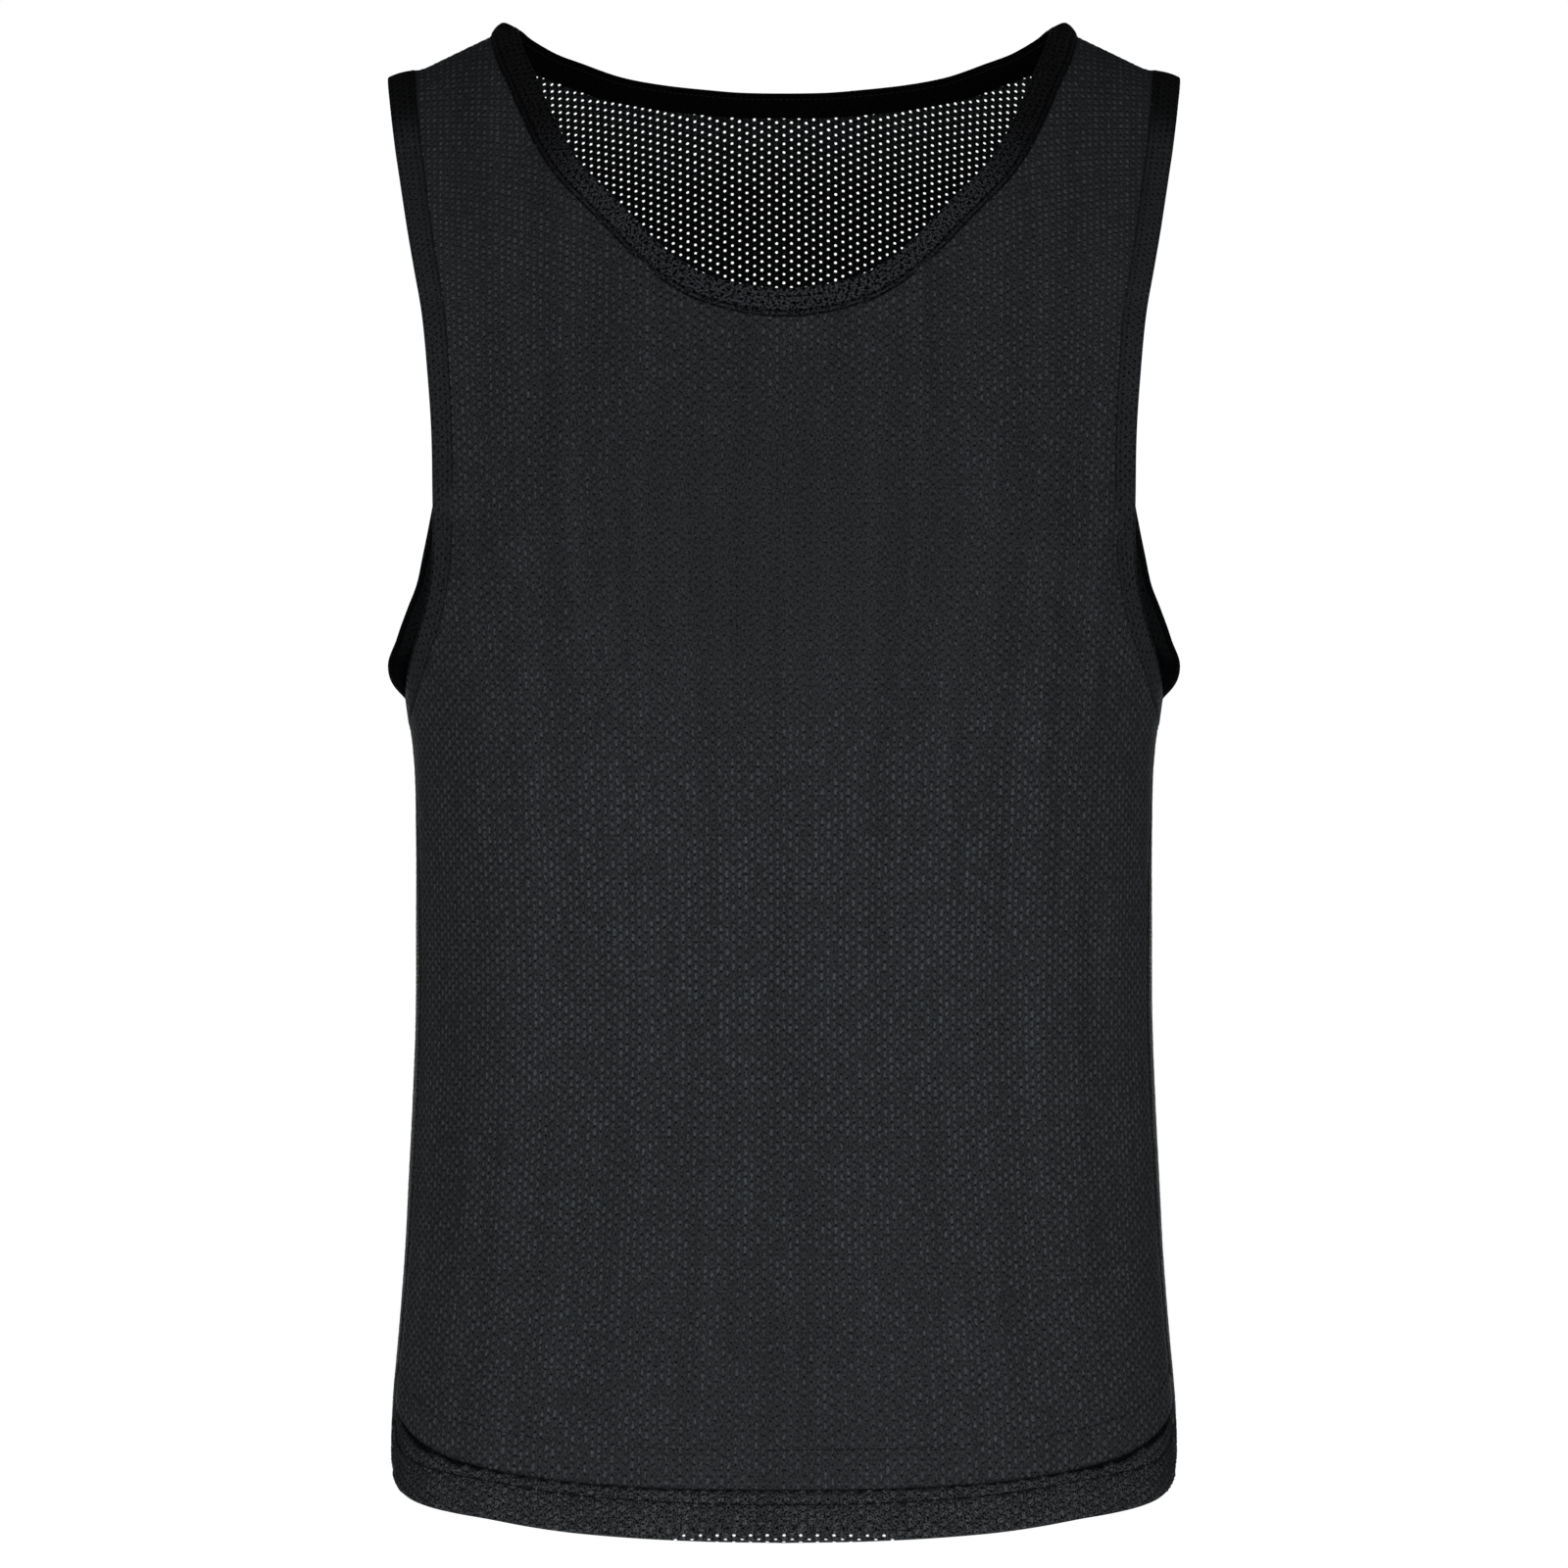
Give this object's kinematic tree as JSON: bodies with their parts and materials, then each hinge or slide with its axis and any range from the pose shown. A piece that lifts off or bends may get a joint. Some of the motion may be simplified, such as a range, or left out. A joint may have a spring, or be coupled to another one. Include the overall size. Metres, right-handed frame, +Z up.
{
  "type": "training bib",
  "caption": "Black sleeveless mesh training bib with scoop neck, bound neck and armholes and a longer, curved back hem, filled out as when worn.",
  "frame": {"origin": "midway between the two shoulder straps, at the height where they rest on the wearer's shoulders", "axes": "+Z up, -Y out of the front panel, +X to the right of a viewer who faces the front"},
  "size_m": [0.3653, 0.2033, 0.7078],
  "materials": {
    "front_mesh": "black polyester sports mesh, matt",
    "back_mesh": "black polyester sports mesh, matt, open",
    "neck_strip": "folded black mesh binding",
    "arm_strip": "folded black mesh binding"
  },
  "bodies": {
    "root": {"front_panel": "front_mesh", "back_panel": "back_mesh", "neck_binding": "neck_strip", "armhole_binding_left": "arm_strip", "armhole_binding_right": "arm_strip"}
  },
  "joints": []
}
